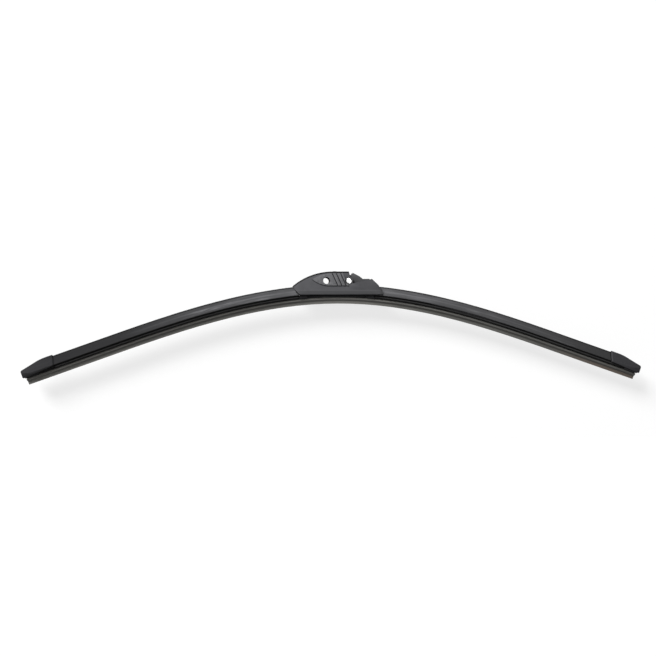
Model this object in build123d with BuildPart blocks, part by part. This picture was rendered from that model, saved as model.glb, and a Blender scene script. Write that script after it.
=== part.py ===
from build123d import *
from math import asin, atan2, cos, degrees, radians, sin, sqrt, tan
import os

os.makedirs("parts", exist_ok=True)

# A flat wiper blade, lying free and so at its full bow.
# The large pin bore is the origin. X runs along the blade, Y across it and Z away from the glass.
# Heights in the strip's section are counted from the wiping edge.

# Bow of the wiping edge: equal arcs from the middle outwards, each turning one step less, then straight
edge_length = 606.0
bow_arcs = 4
bow_span = 51.1
first_turn = 7.76
middle_x = 11.3
edge_drop = 21.8

# Clearance between nested pieces of the blade
fit = 0.05

# Rubber strip
lip_tip = 0.8
lip_root = 1.2
lip_height = 2.7
flank_height = 1.4
flank_radius = 2.9
body_width = 6.0
body_height = 1.8
neck_width = 1.0
neck_height = 0.6
head_width = 5.2
head_flange = 0.6
web_width = 1.0

# Spring rails, one in each groove of the strip
rail_width = 3.6
rail_thickness = 0.86
rail_inset = 2.0

# Spoiler, the same section on both halves
claw_wall = 0.55
claw_foot = 0.5
claw_chamfer = 0.25
foot_reach = 1.2
bead_height = 0.8
bead_reach = 0.3
waist_height = 1.64
overhang = 1.9
overhang_edge = 0.45
crest_height = 18.3
crest_radius = 0.6
flank_hollow = 0.5
hollow_floor = 1.4
hollow_width = 5.0
hollow_height = 3.8
spoiler_inset = 13.5

# End caps
cap_length = 31.8
cap_flat = 11.5
cap_drop = 4.8
cap_bend = 45.0
cap_tip = 2.5
cap_wall = 1.1
cap_sole = 0.55
cap_skirt = 2.6
cap_tip_width = 10.0
cap_tip_reach = 0.3
cap_tip_low = 7.1
cap_taper = 13.0
cap_lean = 6.0
cap_grip_gap = 0.4
cap_claw_wall = 0.8
cap_claw_foot = 0.7
cap_round = 1.2
barb_inset = 5.0
barb_length = 2.0
barb_depth = 0.9

# Stamped bridge that grips both rails at the middle
bridge_margin = 0.3
bridge_sheet = 1.0
bridge_claw = 7.0
bridge_foot = 1.2
bridge_bend = 0.6

# Connector base, places along X and Z from the large bore
large_bore = 6.45
hood_top = 8.75
hood_round = 6.2
hood_end = 21.5
nose_radius = 60.2
nose_tip = -32.1
chin_x = -29.2
chin_z = -10.7
skirt_front = -26.4
skirt_z = -13.5
ramp_top = 1.6
ramp_end = 43.7
tail_slope_x = 50.0
tail_slope_z = -4.4
skirt_rear = 54.3
crease_z = -9.3
hood_width = 14.8
crease_width = 17.4
skirt_width = 15.9
nose_width = 15.0
nose_shoulder = -10.0
tail_width = 15.2
tail_shoulder = 41.0
edge_round = 0.7
floor_z = -9.0
channel_width = 12.8
channel_front = 3.4
channel_rear = 43.2
pocket_front = -10.0
pocket_roof = 4.4
cavity_width = 13.2
nose_socket = 7.0
tail_socket = 4.6
socket_gap = 0.25
core_roof = 1.8
core_width = 9.0
core_margin = 2.0
pad_height = 1.0
pad_tip_x = -13.6
pad_tip_z = 1.2
pad_low = -4.9
pad_bend = 3.0
pad_top_margin = 1.9
pad_rear = 18.9
rib_lean = 24.0
rib_pitch = 4.0
rib_count = 3
rib_first = 8.5
rib_groove = 0.9
lug_length = 8.0
lug_height = 0.5
lug_reach = 1.9
lug_root = 1.1

# Rocking arm adapter, places along X and Z from its pivot
pivot_x = 21.6
small_bore = 4.9
trunnion_diameter = 7.8
trunnion_length = 15.8
pivot_clearance = 0.08
mouth_x = 1.1
mouth_z = 4.3
saddle_x = 3.8
saddle_z = -2.7
cheek_gap = 9.4
cheek_clearance = 0.3
cheek_radius = 5.6
tail_peak_x = 3.7
tail_peak_z = 7.6
tail_bend_x = 10.3
tail_bend_z = 4.2
tail_step_x = 13.4
tail_step_z = 1.7
tail_reach = 20.0
tail_depth = 2.6
web_front = 6.6
web_top = 0.2
latch_reach = 15.4
latch_length = 4.0
latch_low = 3.4
latch_high = 7.4
arm_low = 1.4
nub_width = 4.8
nub_high = 9.2
nub_round = 0.5

# Heights and half widths that follow from the sizes above
body_low = lip_height + flank_height
body_top = body_low + body_height
head_low = body_top + neck_height
groove_low = head_low + head_flange
rail_low = groove_low + fit
rail_high = rail_low + rail_thickness
groove_high = rail_high + fit
head_top = groove_high + head_flange
rail_inner = web_width / 2 + fit
rail_outer = rail_inner + rail_width
slot_half = rail_outer + fit
slot_low = rail_low - fit
claw_low = slot_low - claw_foot
claw_half = slot_half + claw_wall
bead_half = claw_half + bead_reach
bead_top = claw_low + bead_height
overhang_low = groove_high + waist_height
overhang_half = claw_half + overhang
hollow_low = overhang_low + hollow_floor
half_edge = edge_length / 2
bridge_low = head_top + fit
bridge_top = bridge_low + bridge_sheet
bridge_half = slot_half + bridge_sheet


def bow_plane(along):
    """Section plane at a distance along the wiping edge: its x runs across, its y away from the glass."""
    x = 0.0
    z = -edge_drop
    slope = 0.0
    left = abs(along)
    for arc in range(bow_arcs):
        radius = bow_span / radians(first_turn * (1 - arc / bow_arcs))
        run = min(left, bow_span)
        ahead = slope + run / radius
        x += radius * (sin(ahead) - sin(slope))
        z -= radius * (cos(slope) - cos(ahead))
        slope = ahead
        left -= run
    x += left * cos(slope)
    z -= left * sin(slope)
    side = -1 if along < 0 else 1
    return Plane((middle_x + side * x, 0, z), x_dir=(0, 1, 0), z_dir=(cos(slope), 0, -side * sin(slope)))


def bow_line(start, end):
    """Draws the wiping edge from one distance to another in the open line."""
    ends = [side * arc * bow_span for side in (-1, 1) for arc in range(1, bow_arcs + 1)]
    stops = [start, *sorted(stop for stop in ends if start < stop < end), end]
    for low, high in zip(stops, stops[1:]):
        points = [bow_plane(along).origin for along in (low, (low + high) / 2, high)]
        if min(abs(low), abs(high)) < bow_arcs * bow_span - 0.001:
            ThreePointArc(*points)
        else:
            Line(points[0], points[2])


def bow_distance(x):
    """Distance along the wiping edge at which its section plane's origin has this X, near the middle."""
    low, high = -half_edge, half_edge
    for step in range(60):
        middle = (low + high) / 2
        if bow_plane(middle).origin.X < x:
            low = middle
        else:
            high = middle
    return low


def wedge(grow, sole):
    """Section of the spoiler's wind wedge, with its flanks and its underside moved outwards."""
    with BuildSketch(mode=Mode.PRIVATE) as section:
        with BuildLine():
            crest = CenterArc((0, crest_height - crest_radius), crest_radius + grow, 0, 90)
            low = (overhang_half + grow, overhang_low - sole)
            edge = Line(low, (overhang_half + grow, overhang_low + overhang_edge))
            SagittaArc(edge @ 1, crest @ 0, flank_hollow)
            Line((0, overhang_low - sole), low)
            mirror(about=Plane.YZ)
        make_face()
    return section.sketch


def rod_outline():
    """Outline of the spoiler's foot: claws round the rails, beaded at their lower edge."""
    with BuildSketch(mode=Mode.PRIVATE) as section:
        with BuildLine():
            Polyline(
                (0, claw_low),
                (bead_half, claw_low),
                (bead_half, bead_top),
                (claw_half, bead_top + bead_reach),
                (claw_half, overhang_low),
                (0, overhang_low),
            )
            mirror(about=Plane.YZ)
        make_face()
        corners = section.vertices().group_by(Axis.Y)[0].sort_by(Axis.X)
        chamfer((corners[0], corners[-1]), claw_chamfer)
    return section.sketch


# Rubber strip, from the thin lip up to the head that both rails clasp
with BuildPart() as wiper_rubber:
    with BuildLine():
        bow_line(-half_edge, half_edge)
    with BuildSketch(bow_plane(-half_edge)):
        with BuildLine():
            lip = Polyline((0, 0), (lip_tip / 2, 0), (lip_root / 2, lip_height))
            RadiusArc(lip @ 1, (body_width / 2, body_low), flank_radius)
            Polyline(
                (body_width / 2, body_low),
                (body_width / 2, body_top),
                (neck_width / 2, body_top),
                (neck_width / 2, head_low),
                (head_width / 2, head_low),
                (head_width / 2, groove_low),
                (web_width / 2, groove_low),
                (web_width / 2, groove_high),
                (head_width / 2, groove_high),
                (head_width / 2, head_top),
                (0, head_top),
            )
            mirror(about=Plane.YZ)
        make_face()
    sweep()
wiper_rubber.part.label = "wiper_rubber"
export_step(wiper_rubber.part, "parts/wiper_rubber.step")

# Two flat spring rails, notched near each end for the barbs of the caps
for side, name in ((-1, "front_spring_rail"), (1, "rear_spring_rail")):
    rail_end = half_edge - rail_inset
    with BuildPart() as rail:
        with BuildLine():
            bow_line(-rail_end, rail_end)
        with BuildSketch(bow_plane(-rail_end)):
            with Locations((side * (rail_inner + rail_outer) / 2, (rail_low + rail_high) / 2)):
                Rectangle(rail_width, rail_thickness)
        sweep()
        for end in (-1, 1):
            with BuildSketch(bow_plane(end * (half_edge - barb_inset))):
                with Locations((side * rail_outer, (rail_low + rail_high) / 2)):
                    Rectangle(2 * (barb_depth + fit), 2 * rail_thickness)
            extrude(amount=barb_length / 2 + fit, both=True, mode=Mode.SUBTRACT)
    rail.part.label = name
    export_step(rail.part, f"parts/{name}.step")

# Two spoiler halves, each from its socket in the connector base to its end cap
nose_seat = bow_distance(nose_tip + nose_socket)
tail_seat = bow_distance(tail_slope_x - tail_socket)
spoiler_end = half_edge - spoiler_inset
for start, end, name in (
    (-spoiler_end, nose_seat, "left_spoiler"),
    (tail_seat, spoiler_end, "right_spoiler"),
):
    with BuildPart() as spoiler:
        with BuildLine():
            bow_line(start, end)
        with BuildSketch(bow_plane(start)):
            add(wedge(0, 0))
            add(rod_outline())
            Polygon(
                (-hollow_width / 2, hollow_low),
                (hollow_width / 2, hollow_low),
                (0, hollow_low + hollow_height),
                align=None,
                mode=Mode.SUBTRACT,
            )
            with Locations((0, (slot_low + groove_high) / 2)):
                Rectangle(2 * slot_half, groove_high - slot_low, mode=Mode.SUBTRACT)
            with Locations((0, head_top + fit)):
                Rectangle(head_width + 2 * fit, 4 * head_top, align=(Align.CENTER, Align.MAX), mode=Mode.SUBTRACT)
            with Locations((0, slot_low)):
                Rectangle(2 * (slot_half - foot_reach), 4 * claw_foot, mode=Mode.SUBTRACT)
        sweep()
    spoiler.part.label = name
    export_step(spoiler.part, f"parts/{name}.step")

# Two end caps, each over the end of a spoiler half and clawed to both rails
for side, name in ((-1, "left_end_cap"), (1, "right_end_cap")):
    root = bow_plane(side * half_edge)
    outward = root.z_dir * side
    across = Plane(root.origin, x_dir=(0, side, 0), z_dir=outward)
    upright = Plane(root.origin, x_dir=outward, z_dir=(0, -side, 0))
    plan = Plane(root.origin, x_dir=outward, z_dir=root.y_dir)
    inner_top = cap_tip - cap_length
    cap_top = crest_height + fit + cap_wall
    cap_low = overhang_low - fit - cap_sole
    cap_claw_low = slot_low - cap_claw_foot
    lean = (cap_top - cap_low) * tan(radians(cap_lean))
    with BuildPart() as cap:
        # Outer form: the spoiler's wedge grown by a wall, over a narrower grip on the rails
        with BuildSketch(across):
            add(wedge(fit + cap_wall, fit + cap_skirt))
        extrude(amount=2 * cap_length, both=True)
        with BuildSketch(upright) as profile:
            with BuildLine():
                Polyline(
                    (inner_top + lean, cap_low),
                    (inner_top, cap_top),
                    (inner_top + cap_flat, cap_top),
                    (cap_tip, cap_top - cap_drop),
                    (cap_tip, cap_tip_low),
                    close=True,
                )
            make_face()
            tops = profile.vertices().group_by(Axis.Y)[-1].sort_by(Axis.X)
            fillet(tops[-1], cap_bend)
            fillet(profile.vertices().group_by(Axis.X)[-1], cap_round)
        extrude(amount=2 * overhang_half, both=True, mode=Mode.INTERSECT)
        with BuildSketch(upright):
            Polygon(
                (cap_grip_gap - spoiler_inset, overhang_low),
                (cap_grip_gap - spoiler_inset, cap_claw_low),
                (fit, cap_claw_low),
                (cap_tip - cap_round, cap_tip_low + cap_round),
                (cap_tip - cap_round, overhang_low),
                align=None,
            )
        extrude(amount=slot_half + cap_claw_wall, both=True)
        with BuildSketch(plan) as footprint:
            with BuildLine():
                Polyline(
                    (inner_top, 0),
                    (inner_top, overhang_half + 2 * cap_wall),
                    (cap_tip - cap_taper, overhang_half + 2 * cap_wall),
                    (cap_tip + cap_tip_reach, cap_tip_width / 2),
                    (cap_tip + cap_tip_reach, 0),
                )
                mirror(about=Plane.XZ)
            make_face()
            fillet(footprint.vertices().group_by(Axis.X)[-1], cap_round)
        extrude(amount=2 * crest_height, both=True, mode=Mode.INTERSECT)
        # Socket for the spoiler half, slot for the rails and slot for the strip's head
        with BuildSketch(across.offset(fit - spoiler_inset)):
            add(wedge(fit, fit))
            with Locations((0, overhang_low)):
                Rectangle(2 * (bead_half + fit), crest_height, align=(Align.CENTER, Align.MAX))
        extrude(amount=-2 * cap_length, mode=Mode.SUBTRACT)
        with BuildSketch(across.offset(fit - rail_inset)):
            with Locations((0, slot_low)):
                Rectangle(2 * slot_half, groove_high - slot_low, align=(Align.CENTER, Align.MIN))
        extrude(amount=-cap_length, mode=Mode.SUBTRACT)
        with BuildSketch(across.offset(fit)):
            with Locations((0, head_top + fit)):
                Rectangle(head_width + 2 * fit, crest_height, align=(Align.CENTER, Align.MAX))
        extrude(amount=-cap_length, mode=Mode.SUBTRACT)
        # Barbs that drop into the notches of the rails
        with BuildSketch(across.offset(-barb_inset)):
            with Locations((-slot_half, slot_low), (slot_half, slot_low)):
                Rectangle(2 * (barb_depth + fit), groove_high - slot_low, align=(Align.CENTER, Align.MIN))
        extrude(amount=barb_length / 2, both=True)
    cap.part.label = name
    export_step(cap.part, f"parts/{name}.step")

# Steel bridge: a plate over the strip's head, with a claw round the rails at each corner
bridge_start = nose_seat + bridge_margin
bridge_end = tail_seat - bridge_margin
with BuildPart() as rail_bridge:
    with BuildLine():
        bow_line(bridge_start, bridge_end)
    with BuildSketch(bow_plane(bridge_start)):
        with Locations((0, bridge_low)):
            Rectangle(2 * bridge_half, bridge_sheet, align=(Align.CENTER, Align.MIN))
    sweep()
    for start in (bridge_start, bridge_end - bridge_claw):
        with BuildLine():
            bow_line(start, start + bridge_claw)
        with BuildSketch(bow_plane(start)) as claws:
            with Locations((0, slot_low - bridge_sheet)):
                Rectangle(2 * bridge_half, bridge_top - slot_low + bridge_sheet, align=(Align.CENTER, Align.MIN))
            fillet(claws.vertices(), bridge_bend)
            with Locations((0, slot_low)):
                Rectangle(2 * slot_half, bridge_low - slot_low, align=(Align.CENTER, Align.MIN), mode=Mode.SUBTRACT)
            with Locations((0, slot_low)):
                Rectangle(2 * (slot_half - bridge_foot), 4 * bridge_sheet, mode=Mode.SUBTRACT)
        sweep()
rail_bridge.part.label = "rail_bridge"
export_step(rail_bridge.part, "parts/rail_bridge.step")

# Connector base: one half is modelled, on the side towards -Y, and then mirrored
wall_draft = atan2((crease_width - hood_width) / 2, hood_top - crease_z)
wall_half = hood_width / 2 + hood_top * tan(wall_draft)
wall_face = Plane((0, -wall_half, 0), x_dir=(1, 0, 0), z_dir=(0, -cos(wall_draft), sin(wall_draft)))
nose_turn = asin((hood_round - nose_tip) / nose_radius)
core_front = nose_tip + nose_socket + core_margin
core_rear = pocket_front - core_margin
core_top = hood_top - nose_radius * (1 - cos(asin((hood_round - core_front) / nose_radius))) - core_roof
lean = tan(radians(rib_lean))

# Plan of the nose: its side arc runs on past the tip, so that the round along the top has room to end
plan_run = nose_shoulder - nose_tip
plan_inset = (crease_width - nose_width) / 2
plan_radius = (plan_run**2 + plan_inset**2) / (2 * plan_inset)
plan_front = nose_tip - edge_round
plan_side = plan_radius - crease_width / 2 - sqrt(plan_radius**2 - (nose_shoulder - plan_front) ** 2)
with BuildPart() as connector_base:
    # Outer form: side outline, section and plan, cut from one another
    with BuildSketch(Plane.XZ):
        with BuildLine():
            roof = Line((hood_round, hood_top), (hood_end, hood_top))
            nose = JernArc(roof @ 0, (-1, 0), nose_radius, degrees(nose_turn))
            Polyline(
                nose @ 1,
                (chin_x, chin_z),
                (skirt_front, skirt_z),
                (skirt_rear, skirt_z),
                (tail_slope_x, tail_slope_z),
                (ramp_end, ramp_top),
                (pivot_x + saddle_x, saddle_z),
                (pivot_x + mouth_x, mouth_z),
                roof @ 1,
            )
        make_face()
    extrude(amount=crease_width)
    with BuildSketch(Plane.YZ):
        Polygon(
            (0, hood_top),
            (-hood_width / 2, hood_top),
            (-crease_width / 2, crease_z),
            (-skirt_width / 2, skirt_z),
            (0, skirt_z),
            align=None,
        )
    extrude(amount=edge_length, both=True, mode=Mode.INTERSECT)
    with BuildSketch(Plane.XY):
        with BuildLine():
            front = Line((plan_front, 0), (plan_front, plan_side))
            flank = Line((nose_shoulder, -crease_width / 2), (tail_shoulder, -crease_width / 2))
            back = Line((skirt_rear, -tail_width / 2), (skirt_rear, 0))
            TangentArc(flank @ 0, front @ 1, tangent=(-1, 0))
            TangentArc(flank @ 1, back @ 0, tangent=(1, 0))
            Line(back @ 1, front @ 0)
        make_face()
    extrude(amount=edge_length, both=True, mode=Mode.INTERSECT)
    roof_face = connector_base.faces().filter_by(Axis.Z).sort_by(Axis.Z)[-1]
    nose_face = connector_base.faces().filter_by(lambda face: abs((face.radius or 0) - nose_radius) < fit)[0]
    top_edges = roof_face.edges() + nose_face.edges()
    fillet([edge for edge in top_edges if edge.center().Y < -hood_width / 3], edge_round)
    # Raised pad round the large bore, its rear part cut into grip ribs
    with BuildSketch(wall_face):
        with BuildLine():
            arch = hood_top - pad_top_margin
            top = Line((hood_round, arch), (pad_rear - arch * lean, arch))
            rear = Line(top @ 1, (pad_rear - pad_low * lean, pad_low))
            low = Line(rear @ 1, (pad_bend, pad_low))
            TangentArc(low @ 1, (pad_tip_x, pad_tip_z), tangent=(-1, 0))
            TangentArc(top @ 0, (pad_tip_x, pad_tip_z), tangent=(-1, 0))
        make_face()
    extrude(amount=pad_height)
    with BuildSketch(wall_face):
        with Locations([Location((rib_first + rib * rib_pitch, 0, 0), (0, 0, rib_lean)) for rib in range(rib_count)]):
            Rectangle(rib_groove, 4 * hood_top)
    extrude(amount=2 * pad_height, mode=Mode.SUBTRACT)
    # Hollow under the middle, a socket for each spoiler half and a core in the nose
    with BuildLine():
        bow_line(nose_seat, tail_seat)
    with BuildSketch(bow_plane(nose_seat)):
        with Locations((0, bridge_top + fit)):
            Rectangle(cavity_width, 2 * edge_drop, align=(Align.CENTER, Align.MAX))
    sweep(mode=Mode.SUBTRACT)
    for start, end in (
        (nose_seat - 4 * nose_socket, nose_seat + fit),
        (tail_seat - fit, tail_seat + 4 * nose_socket),
    ):
        with BuildLine():
            bow_line(start, end)
        with BuildSketch(bow_plane(start)):
            add(wedge(socket_gap, socket_gap))
            with Locations((0, overhang_low)):
                Rectangle(2 * (overhang_half + socket_gap), edge_drop, align=(Align.CENTER, Align.MAX))
        sweep(mode=Mode.SUBTRACT)
    with BuildSketch(Plane.XY.offset(core_top)):
        with Locations(((core_front + core_rear) / 2, 0)):
            Rectangle(core_rear - core_front, core_width)
    extrude(amount=core_top - hood_top - edge_drop, mode=Mode.SUBTRACT)
    # Channel for the arm and its adapter, open at the top, and its closed end under the front of the hood
    with BuildSketch(Plane.XY.offset(floor_z)):
        with Locations(((channel_front + channel_rear) / 2, 0)):
            Rectangle(channel_rear - channel_front, channel_width)
    extrude(amount=4 * hood_top, mode=Mode.SUBTRACT)
    with BuildSketch(Plane.XY.offset(floor_z)):
        with Locations(((pocket_front + channel_front) / 2, 0)):
            Rectangle(channel_front - pocket_front, channel_width)
    extrude(amount=pocket_roof - floor_z, mode=Mode.SUBTRACT)
    # Large pin bore, and the saddle that the adapter's trunnion snaps into
    with BuildSketch(Plane.XZ):
        Circle(large_bore / 2)
        with Locations((pivot_x, 0)):
            Circle(trunnion_diameter / 2 + pivot_clearance)
    extrude(amount=crease_width, mode=Mode.SUBTRACT)
    # Lug that snaps under the edge of the bridge
    with BuildLine():
        bow_line(-lug_length / 2, lug_length / 2)
    with BuildSketch(bow_plane(-lug_length / 2)):
        with Locations((lug_reach - cavity_width / 2, bridge_low - fit)):
            Rectangle(lug_reach + lug_root, lug_height, align=Align.MAX)
    sweep()
    mirror(about=Plane.XZ)
connector_base.part.label = "connector_base"
export_step(connector_base.part, "parts/connector_base.step")

# Arm adapter: one half is modelled in the same way. It rocks on its two trunnions
cheek_half = channel_width / 2 - cheek_clearance
hinge = Plane((pivot_x, 0, 0), x_dir=(1, 0, 0), z_dir=(0, -1, 0))
with BuildPart() as arm_adapter:
    with BuildSketch(hinge.offset(cheek_gap / 2)):
        Circle(cheek_radius)
        Polygon(
            (0, 0),
            (tail_peak_x, tail_peak_z),
            (tail_bend_x, tail_bend_z),
            (tail_step_x, tail_step_z),
            (tail_reach, tail_step_z),
            (tail_reach, -tail_depth),
            (0, -cheek_radius),
            align=None,
        )
        Polygon(
            (0, -arm_low),
            (0, mouth_z),
            (latch_length - latch_reach, latch_high),
            (-latch_reach, latch_high),
            (-latch_reach, arm_low),
            align=None,
        )
    extrude(amount=cheek_half - cheek_gap / 2)
    with BuildSketch(hinge):
        with Locations((web_front, web_top)):
            Rectangle(tail_reach - web_front, web_top + tail_depth, align=(Align.MIN, Align.MAX))
        with Locations((-latch_reach, latch_low)):
            Rectangle(latch_length, latch_high - latch_low, align=Align.MIN)
    extrude(amount=cheek_gap / 2)
    with BuildSketch(hinge):
        with Locations((-latch_reach, latch_low)):
            Rectangle(latch_length, nub_high - latch_low, align=Align.MIN)
    extrude(amount=nub_width / 2)
    fillet(arm_adapter.faces().sort_by(Axis.Z)[-1].edges().filter_by(Axis.Y), nub_round)
    with BuildSketch(hinge):
        Circle(trunnion_diameter / 2)
    extrude(amount=trunnion_length / 2)
    with BuildSketch(hinge):
        Circle(small_bore / 2)
    extrude(amount=trunnion_length, mode=Mode.SUBTRACT)
    mirror(about=Plane.XZ)
arm_adapter.part.label = "arm_adapter"
export_step(arm_adapter.part, "parts/arm_adapter.step")
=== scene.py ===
import bpy
from math import cos, pi, radians, sin
from mathutils import Matrix, Vector


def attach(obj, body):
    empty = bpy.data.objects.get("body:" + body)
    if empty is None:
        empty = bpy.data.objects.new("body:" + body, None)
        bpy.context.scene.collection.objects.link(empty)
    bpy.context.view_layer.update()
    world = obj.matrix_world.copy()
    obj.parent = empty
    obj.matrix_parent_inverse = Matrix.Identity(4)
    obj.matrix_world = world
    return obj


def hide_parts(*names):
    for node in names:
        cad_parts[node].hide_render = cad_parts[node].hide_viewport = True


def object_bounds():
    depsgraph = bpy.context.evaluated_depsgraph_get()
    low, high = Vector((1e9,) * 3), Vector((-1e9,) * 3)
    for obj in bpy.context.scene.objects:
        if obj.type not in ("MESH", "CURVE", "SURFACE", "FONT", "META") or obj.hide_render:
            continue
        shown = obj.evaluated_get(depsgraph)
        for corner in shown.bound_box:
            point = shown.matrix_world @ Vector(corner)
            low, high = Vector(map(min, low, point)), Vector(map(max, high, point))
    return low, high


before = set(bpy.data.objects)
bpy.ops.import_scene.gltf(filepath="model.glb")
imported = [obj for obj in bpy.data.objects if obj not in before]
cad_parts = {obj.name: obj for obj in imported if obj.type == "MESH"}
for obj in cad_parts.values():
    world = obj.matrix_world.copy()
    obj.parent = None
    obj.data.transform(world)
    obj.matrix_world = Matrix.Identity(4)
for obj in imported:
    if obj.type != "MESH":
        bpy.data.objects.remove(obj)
cad_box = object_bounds()
millimetre = 0.001

# Bow of the wiping edge, as the part's source has it, in metres and radians,
# and the steps taken to find the place on it that is nearest to a point
bow_arcs = 4
bow_span = 51.1 * millimetre
first_turn = radians(7.76)
bow_middle = Vector((11.3 * millimetre, 0, -21.8 * millimetre))
bow_steps = 8

# Copies of the CAD pieces: which points are joined, which faces count as one, and how edges are rounded
weld_distance = 0.002 * millimetre
flat_angle = radians(0.02)
round_segments = 2
round_angle = radians(32)
smooth_angle = radians(40)
rubber_round = 0.12 * millimetre
spoiler_round = 0.18 * millimetre
cap_round = 0.22 * millimetre
connector_round = 0.25 * millimetre
adapter_round = 0.2 * millimetre

# Rubber: the middle of the flank between lip and ridge and half its height, for the painted shade on the flank,
# and the tops of the ridge, above which shade is painted on the head, and the lip
flank_height = 3.4 * millimetre
flank_half = 1.3 * millimetre
ridge_top = 5.9 * millimetre
lip_top = 2.9 * millimetre

# Along the rubber: half its length, half of the paler middle, where light is painted over the connector's
# shade, and where the brown lip starts and is full
strip_half = 300.0 * millimetre
pale_half = 60.0 * millimetre
brown_start = 215.0 * millimetre
brown_full = 265.0 * millimetre

# Spoilers: half their length together, their crest with its line of painted shade, and the top of the claws,
# below which shade is painted
spoiler_half = 280.0 * millimetre
crest_height = 18.3 * millimetre
crest_line = 1.3 * millimetre
claw_top = 9.6 * millimetre

# Painted sheen on the spoilers, a grey glow for reflected light: its middle and half its size in height and
# along the bow, and the painted highlight line in it
painted_sheen_height = 13.6 * millimetre
painted_sheen_half = 7.0 * millimetre
painted_sheen_middle = 25.0 * millimetre
painted_sheen_reach = 235.0 * millimetre
line_half = 1.0 * millimetre

# Painted highlight along the bead of the claws
bead_height = 7.8 * millimetre
bead_half = 0.6 * millimetre

# Pale streaky patches on the spoilers: how strong each is, from where to where along the bow and between which
# heights, in millimetres, and how steeply they fade
pale_patches = (
    (0.6, -150, -84, 10.5, 15.0),
    (0.6, -98, -60, 9.6, 12.2),
    (0.5, 66, 96, 10.8, 14.0),
    (0.5, 118, 140, 11.0, 14.0),
    (0.6, 208, 238, 9.7, 11.6),
)
patch_slope = 1.6

# Inner edge of the end caps: where it meets the caps' top, how it leans, and the painted line on both sides of
# it, a shadow on the spoilers and a highlight on the right cap
cap_edge = 273.7 * millimetre
cap_top = 19.5 * millimetre
cap_lean = 0.105
cap_line = 0.9 * millimetre

# Connector, as the part's source has it: its roof, its leaning wall at the bore, its crease,
# and the radius of the bore
hood_top = 8.75 * millimetre
hood_round = 6.2 * millimetre
nose_radius = 60.2 * millimetre
wall_half = 8.03 * millimetre
wall_lean = 0.072
crease_z = -9.3 * millimetre
large_bore = 3.225 * millimetre

# Pads on the connector's walls: the round of their lower edge, their rear edge and the first groove, which lean
pad_bend = 3.0 * millimetre
pad_centre = 20.74 * millimetre
pad_round = 25.64 * millimetre
pad_tip = -13.6 * millimetre
pad_top = 6.85 * millimetre
pad_rear = 18.9 * millimetre
first_groove = 7.9 * millimetre
groove_lean = 0.445

# Painted shade on the rear of the connector: where it starts and where it is full
rear_start = 20.0 * millimetre
rear_full = 32.0 * millimetre

# Corner below the nose, as the sum of two coordinates, and the edge of the skirt, beyond which shade is painted
chin_corner = -38.9 * millimetre
skirt_edge = -13.25 * millimetre

# Depth of the painted shade along the edge of the roof, the height that tells the pad from the wall,
# half the width of the painted highlight along the crease, and the width of the painted shadow line under the
# pad
rim_depth = 1.9 * millimetre
pad_step = 0.5 * millimetre
crease_half = 0.6 * millimetre
pad_line = 1.0 * millimetre

# Axis of the rocking adapter, the radius of the bore along it, and the share by which the large bore's painted
# shade and the small bore's polish reach past their walls
pivot_x = 21.6 * millimetre
small_bore = 2.45 * millimetre
bore_margin = 1.03

# Pointiness at which an edge starts to look worn, and at which it is fully worn
wear_start = 0.52
wear_full = 0.6

# Colours, as linear red, green and blue, and how much each material shines
rubber_dark = (0.052, 0.051, 0.047)
rubber_pale = (0.190, 0.186, 0.171)
rubber_painted_light = (0.34, 0.332, 0.308)
rubber_flank_shade = (0.026, 0.025, 0.023)
rubber_brown = (0.125, 0.098, 0.078)
rubber_groove_shade = (0.009, 0.009, 0.009)
rubber_shine = 0.5

spoiler_left = (0.0165, 0.0165, 0.0175)
spoiler_right = (0.041, 0.041, 0.042)
spoiler_painted_sheen = (0.128, 0.128, 0.134)
spoiler_painted_shade = (0.008, 0.008, 0.008)
spoiler_bead_highlight = (0.05, 0.05, 0.05)
spoiler_shine = 0.06

left_cap_dark = (0.0140, 0.0140, 0.0152)
left_cap_pale = (0.0255, 0.0255, 0.0275)
right_cap_dark = (0.0215, 0.0215, 0.0232)
right_cap_pale = (0.0395, 0.0395, 0.0425)
cap_edge_highlight = (0.075, 0.075, 0.08)
cap_shine = 0.08

connector_dark = (0.074, 0.074, 0.079)
connector_pale = (0.110, 0.110, 0.1175)
connector_rear_shade = (0.03, 0.03, 0.032)
connector_skirt_shade = (0.082, 0.082, 0.086)
connector_crease_highlight = (0.132, 0.132, 0.137)
connector_pad = (0.18, 0.18, 0.186)
connector_shadow_line = (0.012, 0.012, 0.013)
connector_roof_shade = (0.010, 0.010, 0.010)
connector_painted_shade = (0.006, 0.006, 0.006)
connector_shine = 0.06

adapter_dark = (0.055, 0.055, 0.057)
adapter_pale = (0.089, 0.089, 0.0925)
adapter_shine = 0.12

steel_dark = (0.005, 0.005, 0.005)
steel_pale = (0.018, 0.018, 0.019)
steel_shine = 0.1

# Camera of the photograph: where it stands, what it looks at and how large a pixel is
view_turn = radians(-4.162)
view_roll = radians(-0.288)
view_distance = 875.0 * millimetre
view_target = Vector((1.745, 0, -45.332)) * millimetre
picture_width = 656
focal_pixels = 907.3
sensor_width = 36.0

# Stage: a backdrop close behind the blade and a floor below it, with their own glow, in a white studio
backdrop_gap = 20.0 * millimetre
floor_drop = 60.0 * millimetre
stage_size = 4.0
stage_grey = (0.27, 0.27, 0.27, 1)
stage_glow = 0.742
studio_white = (1, 1, 1, 1)
studio_level = 0.12

# Lamps: places and sizes in metres, power in watts
key_place = (-3.3, -3.48, 3.66)
key_size = 2.6
key_power = 560.0
fill_place = (0.16, 1.5, 0.1)
fill_width = 0.8
fill_height = 0.6
fill_power = 14.0


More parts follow.
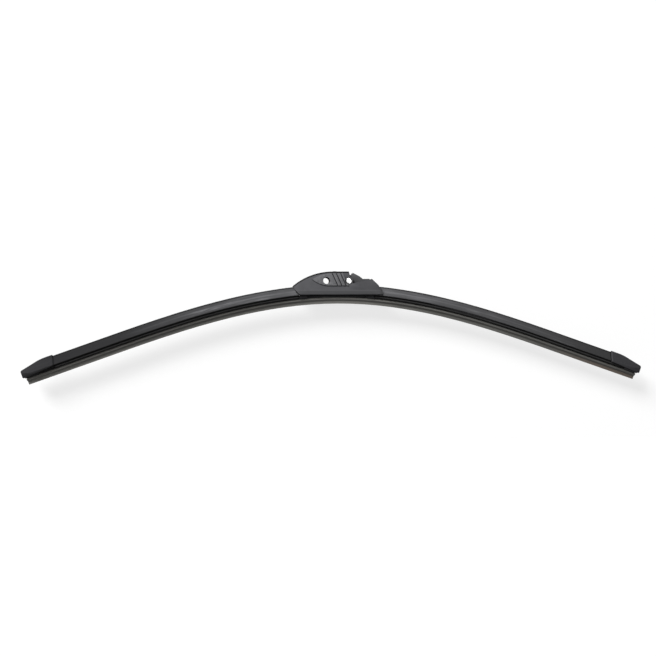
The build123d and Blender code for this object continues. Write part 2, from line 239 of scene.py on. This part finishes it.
class Socket:
    """A node's output that can be used in arithmetic. Each operation adds a Math node."""

    def __init__(self, tree, output):
        self.tree = tree
        self.output = output

    def node(self, kind, settings=None, inputs=None, output=0):
        return add_node(self.tree, kind, settings, inputs, output)

    def math(self, operation, first, second=0.0, clamp=False):
        settings = {"operation": operation, "use_clamp": clamp}
        return self.node("ShaderNodeMath", settings, {0: first, 1: second})

    def __add__(self, other):
        return self.math("ADD", self, other)

    def __radd__(self, other):
        return self.math("ADD", other, self)

    def __sub__(self, other):
        return self.math("SUBTRACT", self, other)

    def __rsub__(self, other):
        return self.math("SUBTRACT", other, self)

    def __mul__(self, other):
        return self.math("MULTIPLY", self, other)

    def __rmul__(self, other):
        return self.math("MULTIPLY", other, self)

    def __pow__(self, other):
        return self.math("POWER", self, other)

    def __abs__(self):
        return self.math("ABSOLUTE", self)

    def above(self, other):
        return self.math("GREATER_THAN", self, other)

    def under(self, other):
        return self.math("LESS_THAN", self, other)

    def at_least(self, other):
        return self.math("MAXIMUM", self, other)

    def clamped(self):
        return self.math("ADD", self, 0.0, clamp=True)


def add_node(tree, kind, settings=None, inputs=None, output=0):
    """Adds a node, sets its settings first and then the values or links of its sockets."""
    made = tree.nodes.new(kind)
    for name, value in (settings or {}).items():
        if name == "stops":
            for element, place in zip(made.color_ramp.elements, value):
                element.position = place
        else:
            setattr(made, name, value)
    for name, value in (inputs or {}).items():
        if isinstance(value, Socket):
            tree.links.new(value.output, made.inputs[name])
        else:
            made.inputs[name].default_value = value
    return Socket(tree, made.outputs[output]) if made.outputs else None


def new_material(name):
    """An empty node material: its tree is filled by the caller."""
    material = bpy.data.materials.new(name)
    material.use_nodes = True
    material.node_tree.nodes.clear()
    return material


def surface(material, shader):
    add_node(material.node_tree, "ShaderNodeOutputMaterial", None, {"Surface": shader})


def finish(material, colour, roughness, normal, shine):
    """Principled surface of a material."""
    inputs = {"Base Color": colour, "Roughness": roughness, "Normal": normal, "Specular IOR Level": shine}
    surface(material, add_node(material.node_tree, "ShaderNodeBsdfPrincipled", None, inputs))
    return material


def object_place(tree):
    return add_node(tree, "ShaderNodeTexCoord", None, None, "Object")


def strip_place(tree):
    """Place on the strip: along the bow, across it and away from the glass."""
    return add_node(tree, "ShaderNodeAttribute", {"attribute_name": "strip"}, None, "Vector")


def axis_of(place, axis):
    """One coordinate of a place."""
    return place.node("ShaderNodeSeparateXYZ", None, {"Vector": place}, axis)


def axis_distance(place, x):
    """Distance from an axis that runs across the blade at a place along it."""
    flat = place.node("ShaderNodeVectorMath", {"operation": "MULTIPLY"}, {0: place, 1: (1, 0, 1)})
    return place.node("ShaderNodeVectorMath", {"operation": "DISTANCE"}, {0: flat, 1: (x, 0, 0)}, "Value")


def noise(place, sizes, detail, roughness=0.55):
    """Noise whose features have these sizes along the three axes, in millimetres."""
    per_metre = tuple(1 / (size * millimetre) for size in sizes)
    sized = place.node("ShaderNodeVectorMath", {"operation": "MULTIPLY"}, {0: place, 1: per_metre})
    inputs = {"Vector": sized, "Scale": 1.0, "Detail": detail, "Roughness": roughness}
    return place.node("ShaderNodeTexNoise", None, inputs)


def tint(factor, dark, light):
    """Mixes two colours by a factor. Each is a socket, or red, green and blue."""
    ends = [colour if isinstance(colour, Socket) else (*colour, 1) for colour in (dark, light)]
    settings = {"data_type": "RGBA"}
    return factor.node("ShaderNodeMix", settings, {0: factor.clamped(), 6: ends[0], 7: ends[1]}, 2)


def bump(height, distance):
    """Normal of a surface with this height, from 0 to 1, times a distance in millimetres."""
    return height.node("ShaderNodeBump", None, {"Distance": distance * millimetre, "Height": height})


def worn_edges(tree):
    """1 on sharp outer edges, 0 elsewhere."""
    pointed = add_node(tree, "ShaderNodeNewGeometry", None, None, "Pointiness")
    return pointed.node("ShaderNodeValToRGB", {"stops": (wear_start, wear_full)}, {"Fac": pointed})


def fading(distance, reach):
    """1 at a distance of 0, falling evenly to 0 at a reach on both sides."""
    return (1 - abs(distance) * (1 / reach)).clamped()


def rising(value, start, full):
    """0 up to a start, rising evenly to 1."""
    return ((value - start) * (1 / (full - start))).clamped()


def between(value, low, high):
    """1 in the middle between two limits in millimetres, fading to 0 at both."""
    middle = 0.5 * (low + high) * millimetre
    outward = abs(value - middle) * (2 / ((high - low) * millimetre))
    return (patch_slope - patch_slope * outward).clamped()


def past_cap_edge(along, height):
    """How far a place on the strip lies beyond the inner edge of the nearer end cap."""
    return abs(along) + cap_lean * (height - cap_top) - cap_edge


def rubber_finish():
    """Matt rubber with a warm bloom drawn out along the strip, painted light in the middle and towards the
    left, and painted shade on the flank and on the head.
    """
    material = new_material("wiper_rubber_finish")
    place = strip_place(material.node_tree)
    along = axis_of(place, "X")
    height = axis_of(place, "Z")
    drawn = noise(place, (40, 1.2, 0.7), 4)
    cloud = noise(place, (22, 6, 3), 3)
    grain = noise(place, (0.35, 0.35, 0.35), 2)
    middle = fading(along, pale_half)
    # Painted light: the rubber is made lighter towards the left, where the spoiler's overhang shades it more
    drift = 0.14 - along * (0.26 / strip_half)
    streaks_and_painted_light = drawn + 0.3 * cloud - 0.3 + 0.3 * middle + drift
    flank = fading(height - flank_height, flank_half)
    brown = rising(along, brown_start, brown_full) * height.under(lip_top)
    drawn_out = tint(streaks_and_painted_light, rubber_dark, rubber_pale)
    # Painted light: the middle of the rubber, in the connector's shade, is made paler
    painted_middle = tint(0.55 * middle, drawn_out, rubber_painted_light)
    # Painted shade: the undercut flank, which faces down, is made darker
    flank_shaded = tint(0.75 * flank, painted_middle, rubber_flank_shade)
    worn = tint(0.8 * brown, flank_shaded, rubber_brown)
    # Painted shade: the head above the ridge, in the groove under the spoiler, is made near black
    colour = tint(height.above(ridge_top), worn, rubber_groove_shade)
    roughness = 0.62 + 0.2 * cloud
    relief = bump(0.7 * grain + 0.3 * drawn, 0.03)
    return finish(material, colour, roughness, relief, rubber_shine)


def spoiler_finish():
    """Satin extruded flank: black, with a streaky grey painted sheen for reflected light that fades towards the
    ends, and painted shade towards the left.
    """
    material = new_material("spoiler_finish")
    place = strip_place(material.node_tree)
    along = axis_of(place, "X")
    height = axis_of(place, "Z")
    lines = noise(place, (120, 0.6, 0.9), 3)
    streaks = noise(place, (26, 2.5, 1.5), 4, 0.6)
    patches = noise(place, (45, 6, 6), 2)
    grain = noise(place, (0.3, 0.3, 0.3), 2)
    mottle = noise(place, (3.0, 1.6, 1.6), 2)
    strokes = noise(place, (14, 1.0, 0.8), 3)
    edge = worn_edges(material.node_tree)

    # Painted sheen in the middle of the flank, with a painted highlight line, and pale streaky patches on it
    above = height - painted_sheen_height
    near = fading(along - painted_sheen_middle, painted_sheen_reach)
    hump = (1 - (above * (1 / painted_sheen_half)) ** 2).clamped()
    # Painted highlight: a pale line along the middle of the flank
    line = fading(above, line_half)
    smears = (4.0 * streaks - 1.6).clamped() * (4.0 * patches - 1.5).clamped()
    # Painted sheen: the flank is made grey in the middle, fading towards the ends, for reflected light
    streaks_and_painted_light = near * (0.45 * hump + 0.25 * lines + 0.6 * smears + 1.3 * line * patches)
    pale_streaks = 0.0
    for strength, start, end, low, high in pale_patches:
        pale_streaks = pale_streaks + strength * (between(along, start, end) * between(height, low, high))
    sheen_and_streaks = streaks_and_painted_light + pale_streaks * (5.0 * strokes - 2.1).clamped() + 0.14 * (mottle - 0.5)
    # Painted shade: the spoilers are made darker towards the left, where the key light falls more strongly
    plain = tint(rising(along, -spoiler_half, spoiler_half), spoiler_left, spoiler_right)
    grey = tint(sheen_and_streaks, plain, spoiler_painted_sheen)

    # Painted shade along the crest, painted shadow beside the caps, and painted shade on the claws with a
    # painted highlight along the bead
    # Painted shade: a dark line along the crest
    crest = height.above(crest_height - crest_line)
    # Painted shadow: a dark line on the spoilers beside the caps
    beside = past_cap_edge(along, height).above(-cap_line)
    edged = tint(0.6 * crest + 0.8 * beside, grey, spoiler_painted_shade)
    # Painted shade on the claws in the groove, with a painted highlight along the bead
    claws = tint(fading(height - bead_height, bead_half), spoiler_painted_shade, spoiler_bead_highlight)
    colour = tint(height.under(claw_top), edged, claws)
    roughness = 0.62 + 0.12 * lines + 0.08 * streaks + 0.06 * edge
    relief = bump(0.6 * lines + 0.4 * grain, 0.05)
    return finish(material, colour, roughness, relief, spoiler_shine)


def cap_finish():
    """Black moulded plastic with a fine spark-eroded grain, painted shade towards the left, and a painted
    highlight along the inner edge of the right cap.
    """
    material = new_material("end_cap_finish")
    place = strip_place(material.node_tree)
    along = axis_of(place, "X")
    height = axis_of(place, "Z")
    cloud = noise(place, (16, 16, 16), 4)
    grain = noise(place, (0.6, 0.6, 0.6), 2)
    specks = noise(place, (2.2, 1.6, 1.6), 2)
    edge = worn_edges(material.node_tree)
    # Painted highlight along the inner edge of the right cap
    painted_edge_band = past_cap_edge(along, height).under(cap_line) * along.above(0.0)
    mottle = 0.6 * cloud + 0.2 * grain + 0.9 * (specks - 0.4) + 0.2 * edge
    left = tint(mottle, left_cap_dark, left_cap_pale)
    right = tint(mottle, right_cap_dark, right_cap_pale)
    # Painted shade: the caps are made darker towards the left, where the key light falls more strongly
    plain = tint(rising(along, -strip_half, strip_half), left, right)
    colour = tint(0.6 * painted_edge_band, plain, cap_edge_highlight)
    roughness = 0.6 + 0.14 * cloud - 0.06 * edge
    return finish(material, colour, roughness, bump(grain, 0.06), cap_shine)


def connector_finish():
    """Grey-black moulded plastic, coarse on the pads, with painted shade along the roof's edge, on the rear,
    below the crease, in the bore and corners, painted shadow lines at the pad, and a painted highlight along
    the crease.
    """
    material = new_material("connector_finish")
    place = object_place(material.node_tree)
    x, y, z = [axis_of(place, axis) for axis in "XYZ"]
    cloud = noise(place, (16, 16, 16), 4)
    fine = noise(place, (0.6, 0.6, 0.6), 2)
    coarse = noise(place, (1.8, 1.8, 1.8), 3)

    # Where the pads are, and where shade is painted: along the roof's edge, in the bore, and in the corner
    # below the nose and under the skirt
    pad = (abs(y) + wall_lean * z).above(wall_half + pad_step)
    ahead = (hood_round - x).at_least(0.0)
    roof = hood_top - nose_radius + (nose_radius ** 2 - ahead ** 2) ** 0.5
    # Painted shade along the edge of the roof, whose top faces away from the light
    painted_edge_band = (2.0 - (roof - z) * (2.0 / rim_depth)).clamped() * x.under(pivot_x)
    bored = axis_distance(place, 0.0).under(bore_margin * large_bore)
    nose_and_skirt_shade = (x + z).under(chin_corner) + z.under(skirt_edge)

    # Painted shadow lines on the wall: below the pad, and in the grooves that part it
    round_x = (pad_bend - x).at_least(0.0)
    below = (round_x ** 2 + (pad_centre - z) ** 2) ** 0.5 - pad_round
    leaning = x + groove_lean * z
    before_rear = leaning.under(pad_rear)
    under = (1 - below * (1 / pad_line)).clamped() * below.above(0.0) * x.above(pad_tip) * before_rear
    groove = leaning.above(first_groove) * before_rear * below.under(0.0) * z.under(pad_top)

    plain = tint(0.7 * cloud + 0.3 * fine, connector_dark, connector_pale)
    # Painted shade: the rear of the connector is made darker
    shaded = tint(0.35 * rising(x, rear_start, rear_full), plain, connector_rear_shade)
    # Painted shade: the skirt below the crease, which tilts downward, is made darker
    lower = tint(z.under(crease_z), shaded, connector_skirt_shade)
    # Painted highlight along the crease
    creased = tint(0.5 * fading(z - crease_z, crease_half), lower, connector_crease_highlight)
    gripped = tint(pad * (0.3 + 1.6 * (coarse - 0.4)), creased, connector_pad)
    # Painted shadow: dark lines under the pad and in its grooves
    lined = tint(0.9 * (1 - pad) * (under + groove).clamped(), gripped, connector_shadow_line)
    roofed = tint(painted_edge_band, lined, connector_roof_shade)
    # Painted shade inside the large bore, in the corner below the nose and under the skirt
    colour = tint(bored + nose_and_skirt_shade, roofed, connector_painted_shade)
    roughness = 0.55 + 0.14 * cloud
    relief = bump(fine * (1 - pad) + 3.0 * coarse * pad, 0.07)
    return finish(material, colour, roughness, relief, connector_shine)


def adapter_finish():
    """Smoother plastic, polished inside the bore of the trunnions."""
    material = new_material("adapter_finish")
    place = object_place(material.node_tree)
    cloud = noise(place, (12, 12, 12), 4)
    grain = noise(place, (0.5, 0.5, 0.5), 2)
    edge = worn_edges(material.node_tree)
    outside = axis_distance(place, pivot_x).above(bore_margin * small_bore)
    colour = tint(0.8 * cloud + 0.3 * edge, adapter_dark, adapter_pale)
    roughness = 0.06 + outside * (0.42 + 0.12 * cloud)
    return finish(material, colour, roughness, bump(grain * outside, 0.012), adapter_shine)


def steel_finish():
    """Spring steel under a thin black coat, with lines from rolling."""
    material = new_material("coated_steel_finish")
    place = object_place(material.node_tree)
    rolled = noise(place, (60, 0.25, 1.5), 3)
    cloud = noise(place, (9, 5, 5), 4)
    edge = worn_edges(material.node_tree)
    colour = tint(0.5 * rolled + 0.3 * cloud + 0.5 * edge, steel_dark, steel_pale)
    roughness = 0.45 + 0.2 * cloud
    return finish(material, colour, roughness, bump(rolled, 0.01), steel_shine)


def bow_at(along):
    """Point of the wiping edge at a distance along it, and its slope there."""
    x = 0.0
    z = 0.0
    slope = 0.0
    to_go = abs(along)
    for arc in range(bow_arcs):
        radius = bow_span / (first_turn * (1 - arc / bow_arcs))
        run = min(to_go, bow_span)
        ahead = slope + run / radius
        x += radius * (sin(ahead) - sin(slope))
        z -= radius * (cos(slope) - cos(ahead))
        slope = ahead
        to_go -= run
    side = -1 if along < 0 else 1
    x += to_go * cos(slope)
    z -= to_go * sin(slope)
    return bow_middle + Vector((side * x, 0, z)), -side * slope


def strip_place_of(point):
    """Distances of a point along the bow, across it and away from the glass."""
    along = point.x - bow_middle.x
    for step in range(bow_steps):
        origin, slope = bow_at(along)
        along += (point.x - origin.x) * cos(slope) + (point.z - origin.z) * sin(slope)
    origin, slope = bow_at(along)
    height = (point.z - origin.z) * cos(slope) - (point.x - origin.x) * sin(slope)
    return (along, point.y, height)


def lay_strip(piece):
    """Stores each point's place on the strip, for patterns that follow the bow."""
    place = piece.data.attributes.new("strip", "FLOAT_VECTOR", "POINT")
    for vertex in piece.data.vertices:
        place.data[vertex.index].vector = strip_place_of(vertex.co)


def edit(piece):
    """Opens one piece in edit mode, with all of it selected."""
    bpy.ops.object.select_all(action="DESELECT")
    piece.select_set(True)
    bpy.context.view_layer.objects.active = piece
    bpy.ops.object.mode_set(mode="EDIT")
    bpy.ops.mesh.select_all(action="SELECT")


def softened(node, round_edge, material, body="blade"):
    """A copy of a CAD piece with rounded edges, which stands for it."""
    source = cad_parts[node]
    piece = bpy.data.objects.new(node + "_moulding", source.data.copy())
    bpy.context.scene.collection.objects.link(piece)
    edit(piece)
    bpy.ops.mesh.remove_doubles(threshold=weld_distance)
    bpy.ops.mesh.dissolve_limited(angle_limit=flat_angle)
    bpy.ops.object.mode_set(mode="OBJECT")
    rounding = piece.modifiers.new("rounding", "BEVEL")
    rounding.width = round_edge
    rounding.segments = round_segments
    rounding.limit_method = "ANGLE"
    rounding.angle_limit = round_angle
    rounding.use_clamp_overlap = True
    bpy.ops.object.modifier_apply(modifier=rounding.name)
    bpy.ops.object.shade_smooth_by_angle(angle=smooth_angle)
    piece.data.materials.clear()
    piece.data.materials.append(material)
    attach(piece, body)
    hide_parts(node)
    return piece


def paint(node, material):
    """Gives a CAD node its finish."""
    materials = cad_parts[node].data.materials
    materials.clear()
    materials.append(material)


def seen(tree):
    """1 for what the camera sees directly, in gloss or through glass."""
    rays = [add_node(tree, "ShaderNodeLightPath", None, None, name)
            for name in ("Is Camera Ray", "Is Glossy Ray", "Is Transmission Ray")]
    return (rays[0] + rays[1] + rays[2]).clamped()


def stage_finish(name):
    """Pale matt sheet that keeps shadows. Its back can be looked through."""
    material = new_material(name)
    tree = material.node_tree
    matt = add_node(tree, "ShaderNodeBsdfDiffuse", None, {"Color": stage_grey})
    glow = add_node(tree, "ShaderNodeEmission", None, {"Strength": seen(tree) * stage_glow})
    front = matt.node("ShaderNodeAddShader", None, {0: matt, 1: glow})
    clear = add_node(tree, "ShaderNodeBsdfTransparent")
    behind = add_node(tree, "ShaderNodeNewGeometry", None, None, "Backfacing")
    surface(material, front.node("ShaderNodeMixShader", None, {0: behind, 1: front, 2: clear}))
    return material


def stage_sheet(name, place, turn, material):
    """Large flat sheet of the stage, turned about the blade's length."""
    bpy.ops.object.select_all(action="DESELECT")
    bpy.ops.mesh.primitive_plane_add(size=stage_size, location=place, rotation=(turn, 0, 0))
    sheet = bpy.context.object
    sheet.name = name
    sheet.data.materials.append(material)
    return sheet


def softbox(name, place, width, height, power):
    """Flat lamp that faces the middle of the blade."""
    lamp = bpy.data.lights.new(name, "AREA")
    lamp.shape = "RECTANGLE"
    lamp.size = width
    lamp.size_y = height
    lamp.energy = power
    box = bpy.data.objects.new(name, lamp)
    box.location = place
    box.rotation_euler = (bow_middle - Vector(place)).to_track_quat("-Z", "Y").to_euler()
    bpy.context.scene.collection.objects.link(box)


def set_world():
    """Studio that is white to look at and lights the blade only weakly."""
    world = bpy.data.worlds.new("studio")
    world.use_nodes = True
    tree = world.node_tree
    tree.nodes.clear()
    level = studio_level + (1 - studio_level) * seen(tree)
    glow = add_node(tree, "ShaderNodeBackground", None, {"Color": studio_white, "Strength": level})
    add_node(tree, "ShaderNodeOutputWorld", None, {"Surface": glow})
    bpy.context.scene.world = world


def set_camera():
    """Camera that stands where the photograph was taken from."""
    lens = bpy.data.cameras.new("camera")
    lens.sensor_width = sensor_width
    lens.lens = focal_pixels / picture_width * sensor_width
    camera = bpy.data.objects.new("camera", lens)
    back = Vector((sin(view_turn), -cos(view_turn), 0))
    level = Vector((cos(view_turn), sin(view_turn), 0))
    upright = back.cross(level)
    right = cos(view_roll) * level + sin(view_roll) * upright
    up = cos(view_roll) * upright - sin(view_roll) * level
    place = view_target + view_distance * back
    camera.matrix_world = Matrix((
        (right.x, up.x, back.x, place.x),
        (right.y, up.y, back.y, place.y),
        (right.z, up.z, back.z, place.z),
        (0, 0, 0, 1),
    ))
    bpy.context.scene.collection.objects.link(camera)
    bpy.context.scene.camera = camera


# Pieces
lay_strip(softened("wiper_rubber", rubber_round, rubber_finish()))
spoiler = spoiler_finish()
for side in ("left", "right"):
    lay_strip(softened(side + "_spoiler", spoiler_round, spoiler))
cap = cap_finish()
for side in ("left", "right"):
    lay_strip(softened(side + "_end_cap", cap_round, cap))
softened("connector_base", connector_round, connector_finish())
softened("arm_adapter", adapter_round, adapter_finish(), "adapter")
steel = steel_finish()
for node in ("front_spring_rail", "rear_spring_rail", "rail_bridge"):
    paint(node, steel)

# Stage, light and camera
floor_z = cad_box[0].z - floor_drop
stage_sheet("floor", (0, 0, floor_z), 0, stage_finish("floor_paper"))
backdrop_place = (0, backdrop_gap, floor_z + stage_size / 2)
backdrop = stage_sheet("backdrop", backdrop_place, pi / 2, stage_finish("backdrop_paper"))
backdrop.visible_diffuse = False
backdrop.visible_glossy = False
backdrop.visible_transmission = False
backdrop.visible_shadow = False
softbox("key", key_place, key_size, key_size, key_power)
softbox("rear_fill", fill_place, fill_width, fill_height, fill_power)
set_world()
set_camera()
bpy.context.scene.view_settings.view_transform = "Standard"
